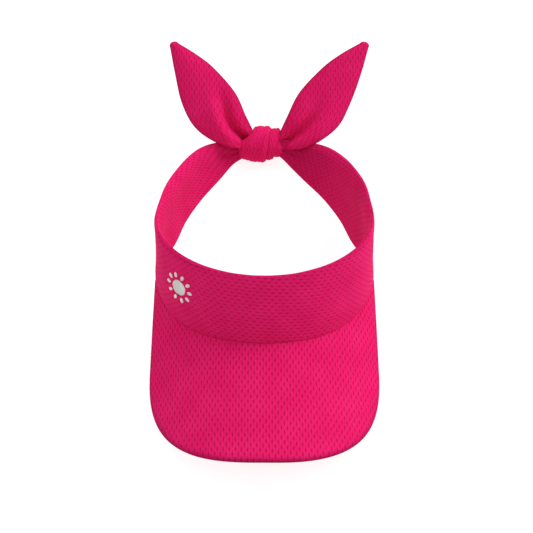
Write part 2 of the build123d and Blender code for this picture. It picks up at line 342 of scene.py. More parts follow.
def air_mesh(
    name, column_pitch, dash_pitch, dash_width=1.25, dash_length=4.3,
    slant=0.0, depth=0.78, streaks=0.2, wobble=0.3,
):
    """Knitted air mesh: columns of short sunk dashes, each column half a pitch off its neighbours.

    Pitches and dash sizes are millimetres of the cloth map. depth is how dark the painted shade in a sunk
    dash is, streaks how dark the painted shade in the grooves between yarns is, and wobble how far the
    columns wander, as a share of their pitch.
    """
    n = Nodes(name)
    flat = n.cloth_map()
    u, v = n.split(flat)
    v = n.math("ADD", v, n.math("MULTIPLY", u, slant))
    wander = n.math("SUBTRACT", n.noise(flat, wander_scale, 3), 0.5)
    u = n.math("ADD", n.math("DIVIDE", u, column_pitch), n.math("MULTIPLY", wander, wobble))
    v = n.math("ADD", n.math("DIVIDE", v, dash_pitch), n.math("MULTIPLY", wander, 0.6 * wobble))
    column = n.math("FLOOR", u)
    across = n.math("SUBTRACT", n.math("SUBTRACT", u, column), 0.5)
    v = n.math("ADD", v, n.math("MULTIPLY", n.math("FLOORED_MODULO", column, 2), 0.5))
    along = n.math("SUBTRACT", n.math("SUBTRACT", v, n.math("FLOOR", v)), 0.5)
    side = n.math("MULTIPLY", n.math("ABSOLUTE", across), 2 * column_pitch / dash_width)
    end = n.math("MULTIPLY", n.math("ABSOLUTE", along), 2 * dash_pitch / dash_length)
    reach = n.math("SQRT", n.math("ADD", n.math("POWER", side, 2.0), n.math("POWER", end, 2.0)))
    dash = n.ease(reach, 0.1, 1.35, 1.0, 0.0)
    yarn = n.noise(n.cloth_map(yarn_stretch), 1.0, 3, 0.6)
    dye = n.noise(flat, dye_scale, 2)
    rib = n.math("MULTIPLY", n.math("COSINE", n.math("MULTIPLY", across, 2 * math.pi)), -0.5)
    groove = n.math("MULTIPLY", n.ease(yarn, 0.5, 0.3), streaks)
    lit = n.math("ADD", n.math("MULTIPLY", dye, 0.3), n.math("MULTIPLY", yarn, 0.7))
    cloth = n.mix(n.ease(lit, 0.35, 0.7), pink, pink_light)
    # Painted shade: the sunk dashes and the grooves between yarns are darkened towards the deep pink.
    cloth = n.mix(n.math("MAXIMUM", n.math("MULTIPLY", dash, depth), groove), cloth, pink_deep)
    # Painted shade: the rim mask darkens the colour along turned edges, along the band's foot and on the
    # gathered straps.
    edge = n.math("MULTIPLY", n.attribute("rim"), painted_shade_strength)
    n.put(n.shader.inputs["Base Color"], n.mix(edge, cloth, pink_painted_shade))
    n.put(n.shader.inputs["Roughness"], n.ease(yarn, 0.2, 0.8, 0.78, 0.94))
    n.shader.inputs["Specular IOR Level"].default_value = matt_specular
    n.shader.inputs["Sheen Weight"].default_value = 0.02
    n.shader.inputs["Sheen Roughness"].default_value = 0.5
    n.shader.inputs["Sheen Tint"].default_value = pink_sheen
    raised = n.math("ADD", n.math("MULTIPLY", yarn, 0.4), n.math("MULTIPLY", rib, 0.25))
    n.bump(n.math("SUBTRACT", raised, dash), 0.4 * MM, 0.8)
    return n.material


def terry_pile():
    """Short cotton loops."""
    n = Nodes("terry_pile")
    spot = n.place()
    loops = n.noise(spot, 1100, 2, 0.7)
    clumps = n.noise(spot, 190, 2)
    height = n.math("ADD", loops, n.math("MULTIPLY", clumps, 0.8))
    n.put(n.shader.inputs["Base Color"], n.mix(n.ease(height, 0.55, 1.2), pink_deep, colour(226, 34, 106)))
    n.shader.inputs["Roughness"].default_value = 0.95
    n.shader.inputs["Specular IOR Level"].default_value = matt_specular
    n.bump(height, 0.9 * MM, 0.9)
    return n.material


def twill(name, light, dark, pitch=1.1):
    """Woven tape or label: fine diagonal ribs, their pitch in millimetres."""
    n = Nodes(name)
    x, y = n.split(n.place())
    ribs = n.math("SINE", n.math("MULTIPLY", n.math("ADD", x, y), 2 * math.pi / (pitch * MM)))
    grain = n.noise(n.place(), 900, 2)
    height = n.math("ADD", n.math("MULTIPLY", ribs, 0.5), grain)
    # Darker in the ribs' grooves, which is painted shade, and with the grain, which is tone that varies at
    # random.
    n.put(n.shader.inputs["Base Color"], n.mix(n.ease(height, 0.0, 1.0), dark, light))
    n.shader.inputs["Roughness"].default_value = 0.8
    n.bump(height, 0.2 * MM, 0.6)
    return n.material


def satin_thread():
    """Embroidered satin stitch: threads laid side by side, the map's first axis running across them."""
    n = Nodes("satin_thread")
    flat = n.cloth_map()
    u, _ = n.split(flat)
    waver = n.math("MULTIPLY", n.noise(flat, 0.9, 2), 0.5)
    phase = n.math("ADD", n.math("MULTIPLY", u, 2 * math.pi / thread_pitch), n.math("MULTIPLY", waver, 4.0))
    thread = n.math("ADD", n.math("MULTIPLY", n.math("COSINE", phase), 0.5), 0.5)
    fibres = n.noise(n.cloth_map((1, 0.2, 1)), 1.6, 2)
    tone = n.math("ADD", n.math("MULTIPLY", thread, 0.6), n.math("MULTIPLY", fibres, 0.4))
    shadow, white = colour(208, 205, 202), colour(254, 253, 251)
    n.put(n.shader.inputs["Base Color"], n.mix(n.ease(tone, 0.1, 0.7), shadow, white))
    n.shader.inputs["Roughness"].default_value = 0.42
    n.shader.inputs["Sheen Weight"].default_value = 0.2
    n.bump(thread, 0.22 * MM, 0.9)
    return n.material


def sewing_thread():
    """Twisted polyester thread."""
    n = Nodes("sewing_thread")
    twist = n.noise(n.place(), 2400, 2)
    n.put(n.shader.inputs["Base Color"], n.mix(twist, pink_deep, pink_light))
    n.shader.inputs["Roughness"].default_value = 0.5
    n.bump(twist, 0.1 * MM, 0.6)
    return n.material


def moulded(name, light, dark):
    """Plain sheet plastic with a fine grain."""
    n = Nodes(name)
    grain = n.noise(n.place(), 420, 3)
    n.put(n.shader.inputs["Base Color"], n.mix(grain, dark, light))
    n.shader.inputs["Roughness"].default_value = 0.45
    n.bump(grain, 0.08 * MM, 0.5)
    return n.material


brim_cloth = air_mesh("air_mesh_brim", 2.27, 7.5, slant=0.07)
band_cloth = air_mesh("air_mesh_band", 2.96, 5.5, 1.3, 3.1)
tail_cloth = air_mesh("air_mesh_tails", 2.1, 7.4, 1.0, 5.0, depth=0.55, streaks=0.45, wobble=0.7)
knot_cloth = air_mesh("air_mesh_knot", 2.0, 7.4, 0.9, 4.4, depth=0.5, streaks=0.8, wobble=0.7)
terry = terry_pile()
pink_twill = twill("pink_twill", colour(206, 22, 92), colour(150, 8, 58))
label_satin = twill("label_satin", colour(240, 239, 236), colour(206, 204, 200), 0.8)
buckram = twill("buckram", colour(226, 222, 212), colour(190, 186, 176), 1.4)
white_thread = satin_thread()
pink_thread = sewing_thread()
board_plastic = moulded("board_plastic", colour(236, 236, 232), colour(214, 214, 208))


def dress(made, material, body, slot, *nodes):
    """Gives a piece its material and its body, and hides the CAD nodes that it stands for. Its slot is not
    used.
    """
    made.data.materials.append(material)
    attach(made, body)
    if nodes:
        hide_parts(*nodes)
    return made


# ---------------------------------------------------------------- headband
def band_edges():
    """Lower and upper edge of the band's face, from the left knot end round the front to the right one."""
    settling_steps = 30         # the lower edge sits on the brim, whose height depends on the place found
    low, high = [], []
    for degrees in range(-75, 76, 15):
        turn = math.radians(degrees)
        z = 0.0
        for _ in range(settling_steps):
            rise = z / band_height
            half = head_half_width + (band_top_half_width - head_half_width) * rise
            deep = band_front + low_centre_shift + (band_top_front - band_front - low_centre_shift) * rise
            x = half * math.sin(turn)
            y = low_centre_shift * (1 - rise) - deep * math.cos(turn)
            z = 0.5 * z + 0.5 * float(brim_z(x, y))
        low.append((x, y, z))
        high.append((band_top_half_width * math.sin(turn), -band_top_front * math.cos(turn), band_height))
    low = left_low[::-1] + low + right_low
    high = left_high[::-1] + high + right_high
    return np.array(low, float), np.array(high, float)


band_steps = 440
low_edge, high_edge = band_edges()
both = curve_through(np.hstack([low_edge, high_edge]), band_steps)
low_line, high_line = both[:, :3], both[:, 3:]
middle = (low_line + high_line) / 2
length_along = np.r_[0, np.cumsum(np.linalg.norm(np.diff(middle, axis=0), axis=1))]
front_step = int(np.argmin(middle[:, 1]))
length_along -= length_along[front_step]
to_knot = np.abs(length_along)
to_knot /= np.where(length_along < 0, to_knot[0], to_knot[-1])
outward = np.cross(high_line - low_line, np.gradient(middle, axis=0))
outward /= np.linalg.norm(outward, axis=1)[:, None]
outward *= -np.sign(outward[front_step][1])


def on_line(line, along):
    """A line's point at a length along the band."""
    return np.stack([np.interp(along, length_along, line[:, k]) for k in range(3)], -1)


def band_face(along, rise, depth=0.0):
    """A point on the band: along its length from front centre, rise 0 to 1 up it, and depth in from its face.

    near is 0 at front centre and 1 at the knot. The face crowns in front and draws in behind the temples, and
    the straps' upper edge curls.
    """
    along = np.asarray(along, float)
    low, high, out = (on_line(line, along) for line in (low_line, high_line, outward))
    near = np.interp(along, length_along, to_knot)
    up = np.clip(rise, 0, 1)
    front = 1 - smooth(0.3, 0.5, near)
    strap = smooth(0.38, 0.5, near) * (1 - smooth(0.8, 0.97, near))
    crown = 1.5 * front * np.sin(np.pi * up ** 0.75)
    waist = -1.4 * np.exp(-((near - 0.43) / 0.05) ** 2) * np.sin(np.pi * up) ** 2
    curl = 2.4 * strap * (np.clip((up - 0.84) / 0.16, 0, 1) ** 2 - smooth(0.35, 0.84, up))
    shift = crown + waist + curl - depth
    return low + (high - low) * np.asarray(rise, float)[..., None] + out * shift[..., None]


def thickness_at(near, up):
    """The band's thickness: interlined in front, two plain layers behind, fuller where it is gathered."""
    front = 1 - smooth(0.36, 0.46, near)
    folded = 1 - 0.3 * smooth(0.8, 1, up) * (1 - front)
    gathered = 4.5 * smooth(0.88, 1, near)
    return (strap_thickness + (interlined_thickness - strap_thickness) * front) * folded + gathered


def rise_at(along, z):
    """How far up the band a height in the ring frame is."""
    low, high = on_line(low_line, along)[..., 2], on_line(high_line, along)[..., 2]
    return (z - low) / (high - low)


def make_headband():
    """One folded tube of cloth: face, folded top edge, lining, and bottom edge."""
    side_points, fold_points = 34, 7
    half_fold = fold_points // 2 + 1
    sides = np.linspace(0, 1, side_points)
    fold = np.linspace(0, np.pi, fold_points + 2)[1:-1]
    # The knit's columns lean across the band, one way in front and the other on the straps.
    skew = np.cumsum((-0.08 + 0.33 * smooth(0.38, 0.5, to_knot)) * np.gradient(length_along))
    skew -= skew[front_step]
    rows, maps = [], []
    for i in range(band_steps):
        near = to_knot[i]
        tall = np.linalg.norm(high_line[i] - low_line[i])
        top, bottom = (float(thickness_at(near, up)) / 2 for up in (1, 0))
        up = bottom / tall + sides * (1 - (top + bottom) / tall)
        thick = thickness_at(near, up)
        rise = np.concatenate([
            up, 1 - top / tall * (1 - np.sin(fold)), up[::-1], bottom / tall * (1 - np.sin(fold)),
        ])
        depth = np.concatenate([
            np.zeros(side_points), top * (1 - np.cos(fold)), thick[::-1], bottom * (1 + np.cos(fold)),
        ])
        loop = band_face(np.full(len(rise), length_along[i]), rise, depth)
        rows.append(loop)
        steps = np.linalg.norm(np.diff(np.vstack([loop, loop[:1]]), axis=0), axis=1)
        around = np.r_[0, np.cumsum(steps)] * (1 + 0.6 * smooth(0.85, 1, near))
        sign = np.r_[np.ones(side_points + half_fold), -np.ones(len(around) - side_points - half_fold)]
        maps.append(np.stack([around - sign * skew[i], np.full(len(around), length_along[i])], 1))
    points = np.array(rows)

    # Pleats where the straps gather, and soft creases everywhere, pushed out from the tube's middle.
    near = to_knot[:, None]
    round_it = np.linspace(0, 2 * np.pi, points.shape[1], endpoint=False)[None, :]
    gathers = smooth(0.76, 0.97, near)
    pleats = np.sin(round_it * 5 + 0.5 * np.sin(near * 30)) + 0.6 * np.sin(round_it * 9 + 1.3)
    creases = lumps(points, 28, 3).reshape(points.shape[:2])
    fine = lumps(points, 9, 8).reshape(points.shape[:2])
    inside = np.sum((points - points.mean(axis=1, keepdims=True)) * outward[:, None, :], axis=2)
    normal = outward[:, None, :] * np.tanh(inside / 0.8)[..., None]
    shift = gathers * pleats * 0.55 + creases * (0.3 + 0.9 * gathers) + fine * 0.12
    shape = grid(points + normal * shift[..., None], np.array(maps), closed=True, caps=True)

    # Painted shade, darker along the top fold, along the foot where it sits on the brim, and on the straps'
    # inner faces towards the knot.
    fold_radius = 1.6
    from_edge = np.linalg.norm(points - (high_line - outward * fold_radius)[:, None, :], axis=2)
    from_foot = points[:, :side_points, 2] - low_line[:, None, 2]
    rim = 0.5 * np.exp(-np.maximum(0, from_edge - fold_radius) / 0.9) * (1 - smooth(0.3, 0.42, near))
    rim[:, :side_points] += np.exp(-np.maximum(0, from_foot - 0.8) / 0.5) * (1 - smooth(0.3, 0.4, near))
    strap_shade = np.where(length_along > 0, 0.36, 0.12)[:, None] * smooth(0.42, 0.6, near)
    rim += np.where(inside < 0, 1, 0.4) * (strap_shade + 0.32 * smooth(0.66, 0.92, near))
    return piece("headband", world(shape[0]), shape[1], shape[2], rim)


headband = dress(
    make_headband(), band_cloth, "visor", "air_mesh",
    "front_band_outer", "front_band_lining", "left_strap_outer", "left_strap_lining",
    "right_strap_outer", "right_strap_lining",
)


# ---------------------------------------------------------------- what is sewn inside the band
def strip_inside(name, start, end, z_low, z_high, thick, over=0.0, rounding=0.5, wave=0.0, free_edge=0.0):
    """A flat strip on the band's lining, between two lengths along it and two heights.

    over is how far all but its upper edge stands off the lining, to wrap what is under it. rounding is its
    corners' radius, wave how far it ripples, and free_edge how far its unsewn lower edge stands off.
    """
    steps = max(12, int((end - start) / 1.6))
    across = 18
    corner = 0.03               # the share of the half length that each end's rounded corners take
    edge_half_thickness = 0.04
    sewn_width, sewn_edge = 2.4, 0.6    # from its upper edge, where it comes down to the lining again
    rows, maps = [], []
    for along in np.linspace(start, end, steps):
        from_middle = abs(2 * (along - start) / (end - start) - 1)
        into_corner = max(0, from_middle - (1 - corner)) / corner
        inset = rounding * (1 - math.sqrt(max(0.0, 1 - into_corner ** 2)))
        heights = np.linspace(z_low + inset, z_high - inset, across)
        place = np.linspace(-1, 1, across)
        half = 0.5 * thick * (1 - np.abs(place) ** 10) ** 0.5 + edge_half_thickness
        ripple = wave * np.sin(along * 0.35) * (1 - np.abs(place))
        lying = 0.5 * thick + ripple + free_edge * (1 - place) ** 3 / 8
        lying = lying + over * (1 - smooth(z_high - sewn_width, z_high - sewn_edge, heights))
        z = np.concatenate([heights, heights[::-1]])
        far = np.concatenate([lying + half, (lying - half)[::-1]])
        spots = np.full(len(z), along)
        up = rise_at(spots, z)
        near = np.interp(spots, length_along, to_knot)
        rows.append(band_face(spots, up, thickness_at(near, up) + far))
        maps.append(np.stack([z, spots], 1))
    points, maps = np.array(rows), np.array(maps)
    maps = np.concatenate([maps, maps[:, :1]], axis=1)
    shape = grid(points, maps, closed=True, caps=True)
    return piece(name, world(shape[0]), shape[1], shape[2])


def stitch_row(start, end, z, depth, pitch=3.0, length=2.2, radius=0.26):
    """A row of short thread capsules along the band's inner face, their middles sunk a little into it."""
    parts = []
    sides = 6
    sunk = 0.18
    capsule = ((0.0, 0.25), (0.12, 0.85), (0.5, 1.0), (0.88, 0.85), (1.0, 0.25))    # place along it, size
    for along in np.arange(start, end, pitch):
        centre = along + pitch / 2
        ends = np.array([centre - length / 2, centre + length / 2])
        up = rise_at(ends, np.full(2, z))
        near = np.interp(ends, length_along, to_knot)
        a, b = band_face(ends, up, thickness_at(near, up) + depth)
        out = on_line(outward, np.array([centre]))[0]
        forward = (b - a) / np.linalg.norm(b - a)
        lateral = np.cross(forward, out)
        rings = []
        for k, size in capsule:
            angle = np.linspace(0, 2 * np.pi, sides, endpoint=False)[:, None]
            mid = a + (b - a) * k - out * sunk * math.sin(math.pi * k)
            rings.append(mid + (np.cos(angle) * lateral + np.sin(angle) * out) * radius * size)
        blank = np.zeros((len(rings), sides + 1, 2))
        parts.append(grid(np.array(rings), blank, closed=True, caps=True))
    return parts


def thread_piece(name, rows):
    """All the rows of stitches in one piece."""
    shape = merge([part for row in rows for part in row])
    return dress(piece(name, world(shape[0]), shape[1], shape[2]), pink_thread, "visor", "thread")


temple = 0.36                   # of the way from front centre to the knot
left_temple = float(np.interp(temple, to_knot[:front_step][::-1], length_along[:front_step][::-1]))
right_temple = float(np.interp(temple, to_knot[front_step:], length_along[front_step:]))
pad_inset = 4.0
pad_start, pad_end = left_temple + pad_inset, right_temple - pad_inset
sweatband = dress(
    strip_inside("terry_sweatband", pad_start, pad_end, 3.5, 37.5, 2.4, rounding=5, wave=0.12),
    terry, "visor", "terry", "sweatband",
)
pile = sweatband.modifiers.new("pile", "SUBSURF")
pile.levels = pile.render_levels = 1
seam_tape = dress(
    strip_inside("brim_seam_tape_cloth", left_temple, right_temple, -3.4, 3.2, 0.6, over=2.8),
    pink_twill, "visor", "tape", "brim_seam_tape",
)
label_start = 41.0
label_width = 22.0
label = dress(
    strip_inside("blank_care_label", label_start, label_start + label_width, 40, 54.5, 0.35, free_edge=1.6),
    label_satin, "visor", "label", "care_label",
)
thread_piece("sweatband_stitching", [
    stitch_row(pad_start + 2, pad_end - 2, 35.2, 2.35),
    stitch_row(pad_start + 2, pad_end - 2, 5.8, 2.35),
])
thread_piece("tape_stitching", [stitch_row(left_temple + 2, right_temple - 2, 2.5, 0.75)])
thread_piece("label_stitching", [
    stitch_row(label_start + 1, label_start + label_width - 1, 53.2, 0.4, pitch=2.2, length=1.5),
])

# ---------------------------------------------------------------- brim
def brim_rim(count):
    """The brim's outline in plan, from its right end round the front to its left end."""
    power = 2 / brim_corner_power
    corner = []
    for turn in np.linspace(0, math.pi, 121):
        x = math.copysign(brim_half_width * abs(math.cos(turn)) ** power, math.cos(turn))
        y = -brim_side_end - (brim_tip - brim_side_end) * math.sin(turn) ** power
        corner.append((x, y))
    horn = (head_half_width - 0.4, -2.0)
    side = (brim_half_width - 0.5, -40.0)
    outline = [horn, side] + corner + [(-side[0], side[1]), (-horn[0], horn[1])]
    return curve_through(outline, count)


def brim_map(flat):
    """The brim cloth's own flat coordinates: arc length across the arch, distance down the slope."""
    x, y = flat[:, 0], flat[:, 1]
    turn = np.arcsin(np.clip(x / brim_arch_radius, -1, 1))
    fall = brim_arch_radius * (1 - np.cos(turn))
    down = (y - fall * math.sin(brim_slope)) / math.cos(brim_slope)
    return np.column_stack([brim_arch_radius * turn, down])


def make_brim(name, upper):
    """The upper cover with the cloth's turned edge, or the under cover inside that edge."""
    around, inwards = 320, 48
    cloth_thickness = 0.5
    setback = 7.2               # how far in behind the band's face the covers reach
    back_end = -2.0
    lip = 0.5                   # what the upper cover's closing edges stop short of the under cover
    rim = brim_rim(around)
    tangent = np.gradient(rim, axis=0)
    outwards = np.stack([-tangent[:, 1], tangent[:, 0]], 1)
    outwards /= np.linalg.norm(outwards, axis=1)[:, None]
    outwards *= -np.sign(outwards[around // 2][1])
    turn = np.linspace(0, math.pi, around)
    back = np.stack([
        (head_half_width - setback) * np.cos(turn),
        low_centre_shift - (band_front + low_centre_shift - setback) * np.sin(turn),
    ], 1)
    back = curve_through(back, around)
    back[:, 1] = np.minimum(back[:, 1], back_end)
    radius = brim_thickness / 2
    inner_rim = rim - outwards * radius
    rows, maps = [], []

    def lay(flat, drop, stretched=None):
        rows.append(np.column_stack([flat, brim_z(flat[:, 0], flat[:, 1]) - drop]))
        maps.append(brim_map(flat if stretched is None else stretched))

    if upper:
        lay(back, brim_thickness - lip)
        for part in np.linspace(0, 1, inwards):
            lay(back + (inner_rim - back) * part, 0)
        for angle in np.radians(np.linspace(15, 150, 10)):
            flat = inner_rim + outwards * radius * math.sin(angle)
            lay(flat, radius * (1 - math.cos(angle)), inner_rim + outwards * radius * angle)
    else:
        for angle in np.radians(np.linspace(140, 180, 5)):
            flat = inner_rim + outwards * (radius * math.sin(angle) - 0.25)
            lay(flat, radius * (1 - math.cos(angle)) - 0.2)
        for part in np.linspace(0, 1, inwards)[1:]:
            lay(inner_rim + (back - inner_rim) * part, brim_thickness)
    points, maps = np.array(rows), np.array(maps)
    from_edge = np.linalg.norm(points[..., :2] - rim[None, :, :], axis=2)
    points[..., 2] += lumps(points, 32, 5).reshape(points.shape[:2]) * 0.25
    if upper:
        ends = points[:, [0, -1]]
        ends[..., 1] += 0.3
        ends[..., 2] = np.minimum(ends[..., 2], brim_z(ends[..., 0], ends[..., 1]) - brim_thickness + lip)
        points = np.concatenate([ends[:, :1], points, ends[:, 1:]], axis=1)
        maps = np.concatenate([maps[:, :1] + brim_thickness, maps, maps[:, -1:] - brim_thickness], axis=1)
        from_edge = np.pad(from_edge, ((0, 0), (1, 1)), mode="edge")
    shape = grid(points, maps)
    # Painted shade along the brim's turned edge, given as the rim mask.
    made = piece(name, world(shape[0]), shape[1], shape[2], np.exp(-from_edge / 0.9))
    thicken = made.modifiers.new("cloth", "SOLIDIFY")
    thicken.thickness = cloth_thickness * MM
    thicken.offset = -1
    return made


brim_top = dress(make_brim("brim_top_cloth", True), brim_cloth, "visor", "air_mesh", "brim_top_cover")
brim_under = dress(make_brim("brim_under_cloth", False), brim_cloth, "visor", "air_mesh", "brim_under_cover")


# ---------------------------------------------------------------- knot
def face_out(made, join=False):
    """Turns a closed shell's faces outwards; join first welds the points where it meets itself."""
    shell = bmesh.new()
    shell.from_mesh(made.data)
    if join:
        bmesh.ops.remove_doubles(shell, verts=shell.verts, dist=1e-6)
    bmesh.ops.recalc_face_normals(shell, faces=shell.faces)
    shell.to_mesh(made.data)
    shell.free()


def knot_turn(name, left, right, crown, core, ends, folds, right_end=8.0, rows=90, columns=36):
    """One turn of gathered strap round the knot, its sides, height and folds given by functions of the angle.

    left, right, crown and ends take the cosine of the angle, 1 on top of the knot and -1 under it. core is
    the turn's inner radius. ends and right_end say how square its left and right sides are.
    """
    map_radius = 13.0
    gather = 1.25               # cloth used for each millimetre across
    closing_depth = 0.8         # how far inside the core's radius its inner side closes
    inner = np.linspace(1, 0, 8)[1:-1]
    points, maps = [], []
    for angle in np.linspace(0, 2 * np.pi, rows, endpoint=False):
        c = math.cos(angle)
        x0, x1 = left(c), right(c)
        part = np.linspace(0, 1, columns)
        swell = (1 - np.abs(2 * part - 1) ** np.where(part > 0.5, right_end, ends(c))) ** 0.5
        out = core + (crown(c, part) - core) * swell
        out = out + folds(part, angle) * np.minimum(1, swell * 1.5)
        x = x0 + (x1 - x0) * part
        x = np.concatenate([x, x0 + (x1 - x0) * inner])
        out = np.concatenate([out, np.full(len(inner), core - closing_depth)])
        around = knot_up * c + knot_out * math.sin(angle)
        points.append(knot_centre + x[:, None] * sideways + out[:, None] * around)
        steps = np.linalg.norm(np.diff(np.column_stack([x, out]), axis=0), axis=1)
        u = np.r_[0, np.cumsum(steps)] * gather
        u = np.r_[u, u[-1]]
        maps.append(np.stack([u, np.full(len(u), angle * map_radius)], 1))
    points, maps = np.array(points), np.array(maps)
    uneven = lumps(points, 11, len(name)).reshape(points.shape[:2])
    points = points + uneven[..., None] * 0.3 * knot_out
    points = np.concatenate([points, points[:1]], axis=0)
    last = maps[:1].copy()
    last[..., 1] = 2 * np.pi * map_radius
    maps = np.concatenate([maps, last], axis=0)
    shape = grid(points, maps, closed=True)
    made = piece(name, world(shape[0]), shape[1], shape[2])
    face_out(made, join=True)
    return made


# The broad turn has pleats, and one deep fold slanting across its front, which is the last term of its folds.
wrap = dress(knot_turn(
    "knot_wrap_cloth",
    left=lambda c: -22.8 + 12.2 * float(smooth(-0.1, 0.9, c)),
    right=lambda c: 4.4 + 2.1 * c,
    crown=lambda c, part: 15.9 - 3.4 * (1 - part) ** 1.8 * float(1 - smooth(0, 1, c)),
    core=8.0,
    ends=lambda c: 3.2 + 2.6 * float(smooth(0, 1, c)),
    folds=lambda part, angle: (
        0.13 * np.sin(part * 47 + 1.1 * math.sin(angle))
        + 0.2 * np.sin(part * 17 + 1.4 * math.sin(angle + 0.6))
        - 0.35 * np.exp(-((part - 0.62 - 0.1 * math.sin(angle)) / 0.035) ** 2) * max(0.0, math.sin(angle))
    ),
    columns=64,
), knot_cloth, "visor", "air_mesh", "knot_wrap")
cross = dress(knot_turn(
    "knot_cross_cloth",
    left=lambda c: 3.0 + 1.9 * c,
    right=lambda c: 11.7 + 2.8 * c,
    crown=lambda c, part: (
        13.9 - 2.0 * part ** 2 * (1 - float(smooth(-0.6, 0.9, c)))
        + 0.6 * np.exp(-((part - 0.8) / 0.2) ** 2) * float(smooth(0, 1, c))
    ),
    core=8.0,
    ends=lambda c: 8.0,
    right_end=3.6,
    folds=lambda part, angle: 0.16 * np.sin(part * 20 + 0.8 * math.sin(angle)),
    columns=30,
), knot_cloth, "visor", "air_mesh", "knot_cross_strand")
under = dress(knot_turn(
    "knot_under_cloth",
    left=lambda c: 7.5 + 2.0 * c,
    right=lambda c: 14.5 - 2.6 * c,
    crown=lambda c, part: 9.2 + 2.3 * float(smooth(0.2, -0.9, c)) - 1.6 * part ** 2,
    core=6.0,
    ends=lambda c: 2.4,
    right_end=2.4,
    folds=lambda part, angle: 0.35 * np.sin(angle * 13) * part,
    columns=24,
), knot_cloth, "visor", "air_mesh", "knot_under_strand")
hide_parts("knot_core")

# ---------------------------------------------------------------- tails
# Outlines in the plane of the tails' faces through the knot's centre, as (sideways, up), and the line of the
# fold at the root, as (up, sideways). The fold is depth deep and dies out at fade up the tail. It has a lobe
# on its outer side and a ridge on its inner side.
tails = {
    "left": dict(
        side=-1,
        inner=[(-7, 6), (-16, 25), (-25.4, 45), (-43.4, 65.6), (-58.2, 77.0), (-73.2, 86.2)],
        outer=[(-12, -5), (-38, 0.5), (-59, 14.2), (-70.5, 35), (-76.2, 60), (-80.2, 82.6)],
        fold=[(3, -17.5), (14, -28.5), (23, -33), (39, -36.6), (50, -38)],
        depth=9.5, fade=62, lobe=4.4, ridge=2.2,
    ),
    "right": dict(
        side=1,
        inner=[(11, 6), (19.5, 25), (29.8, 45), (49.2, 65.6), (64.6, 77.0), (80.8, 86.2)],
        outer=[(14, -5), (38, -1.5), (61.5, 14.2), (73, 35), (82, 60), (88.2, 82.6)],
        fold=[(0, 17), (8, 28.5), (15, 35), (22, 41), (32, 45), (45, 48)],
        depth=7.2, fade=50, lobe=3.6, ridge=1.6,
    ),
}
tail_root_out, tail_face_out = 5.0, 11.2    # how far forward of the knot's centre the cloth is
tail_half_thickness = 1.35
tail_crown = 3.6
tip_radius = 3.2


def make_tail(name, side, inner, outer, fold, depth, fade, lobe, ridge):
    """A leaf of two layers of cloth turned at its edges, folded and cupped where the knot gathers it."""
    rows, columns = 84, 44
    a, b = curve_through(inner, rows), curve_through(outer, rows)

    # The tip is rounded by rows that close in on its middle.
    middle_line = (a + b) / 2
    tip_way = middle_line[-1] - middle_line[-3]
    tip_way /= np.linalg.norm(tip_way)
    tip_angles = np.radians([15, 30, 45, 58, 70, 80, 87])
    closing = np.concatenate([np.ones(rows), np.cos(tip_angles)])[:, None]
    a, b = (
        np.vstack([line] + [
            middle_line[-1] + (line[-1] - middle_line[-1]) * math.cos(t) + tip_way * tip_radius * math.sin(t)
            for t in tip_angles
        ])
        for line in (a, b)
    )
    half_width = np.linalg.norm(a - b, axis=1)[:, None] / 2
    across = np.sin(np.linspace(-np.pi / 2, np.pi / 2, columns))
    place = np.concatenate([across, across[::-1][1:-1]])
    face = np.concatenate([np.ones(columns), -np.ones(columns - 2)])
    part = (place[None, :, None] + 1) / 2
    flat = a[:, None, :] * (1 - part) + b[:, None, :] * part
    x, u = flat[..., 0], flat[..., 1]

    # The fold at the root, and the leaf's own cupping, which closes with its width at the tip.
    fold = np.array(fold, float)
    fold_x = np.interp(u, fold[:, 0], fold[:, 1])
    steep = np.interp(u, fold[:, 0], np.abs(np.gradient(fold[:, 1], fold[:, 0])))
    off = side * (x - fold_x) / np.sqrt(1 + steep ** 2)
    fading = 1 - smooth(6, fade, u)
    width = np.where(off > 0, 2.0 + 0.10 * np.maximum(u, 0), 4.2 + 0.10 * np.maximum(u, 0))
    relief = -depth * fading * np.exp(-(off / width) ** 2)
    relief += lobe * fading * np.exp(-((off - 8) / 6.5) ** 2)
    relief += ridge * fading * np.exp(-((off + 7) / 5.5) ** 2)
    crown = tail_crown * closing * (1 - np.exp(-half_width / 6))
    crown = crown * (1 - place[None, :] ** 2) * smooth(8, 40, np.hypot(x, u))
    root = np.hypot(x - side * 9, u - 6)
    out = tail_root_out + (tail_face_out - tail_root_out) * smooth(3, 24, root) + relief + crown
    rim = (1 - np.abs(place) ** 7) ** 0.5
    out = out + face[None, :] * rim[None, :] * closing * tail_half_thickness
    soft = lumps(np.dstack([x, u, np.full(x.shape, side)]), 17, 4).reshape(x.shape)
    out = out + 0.5 * soft * smooth(0, 1, 1 - np.abs(place))[None, :]
    overhang = 2.2 * fading * np.exp(-((off - 3.5) / 3.0) ** 2)
    x_laid = x - side * overhang / np.sqrt(1 + steep ** 2)
    points = knot_centre + x_laid[..., None] * sideways + u[..., None] * tail_up + out[..., None] * tail_out

    # The knit's columns bend in towards the knot.
    below = np.maximum(0, 30 - u)
    mapped = np.dstack([x + side * 0.022 * below ** 2, u])
    mapped = np.concatenate([mapped, mapped[:, :1]], axis=1)
    # Painted shade along the leaf's turned edges, given as the rim mask.
    from_edge = (1 - np.abs(place))[None, :] * half_width
    shape = grid(points, mapped, closed=True, caps=True, flip=side > 0)
    return piece(name, world(shape[0]), shape[1], shape[2], np.exp(-from_edge / 1.1))


for tail_name, facts in tails.items():
    body = tail_name + "_tail"
    tail = make_tail(body + "_cloth", **facts)
    tail.data.materials.append(tail_cloth)
    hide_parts(body + "_back", body + "_front")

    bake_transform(tail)


# ---------------------------------------------------------------- emblem, a plain sun in satin stitch
disc_radius = 7.0
ray_count = 10
ray_inner, ray_outer, ray_width = 9.2, 13.6, 3.0
stitch_height = 0.75
thread_bulge = 0.16


